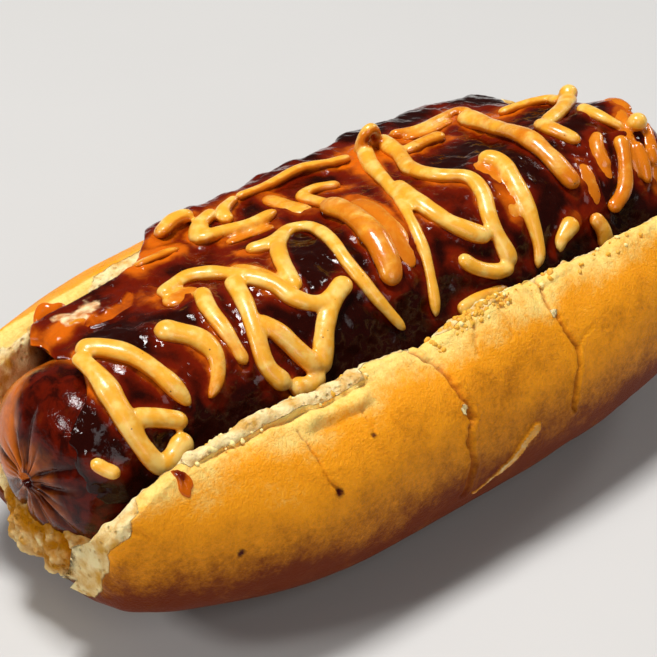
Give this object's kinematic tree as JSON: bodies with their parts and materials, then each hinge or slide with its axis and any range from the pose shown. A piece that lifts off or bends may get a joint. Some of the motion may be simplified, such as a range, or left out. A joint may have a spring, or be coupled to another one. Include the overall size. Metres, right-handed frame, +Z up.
{
  "type": "hot dog",
  "caption": "Hot dog: split golden roll with a smoked sausage under glossy dark red sauce and thick strands of yellow mustard.",
  "frame": {"origin": "Bottom centre of the bounding box, on the surface the hot dog lies on.", "axes": "+X along the roll towards the end where the sausage is sauced to the tip, -Y towards the half with the lower cut edge, +Z up."},
  "size_m": [0.133, 0.07, 0.0447],
  "materials": {
    "crust": "matte",
    "casing": "glossy",
    "sauce": "glossy"
  },
  "bodies": {
    "root": {"bun": "crust", "sausage": "casing", "sauce": "sauce"}
  },
  "joints": []
}
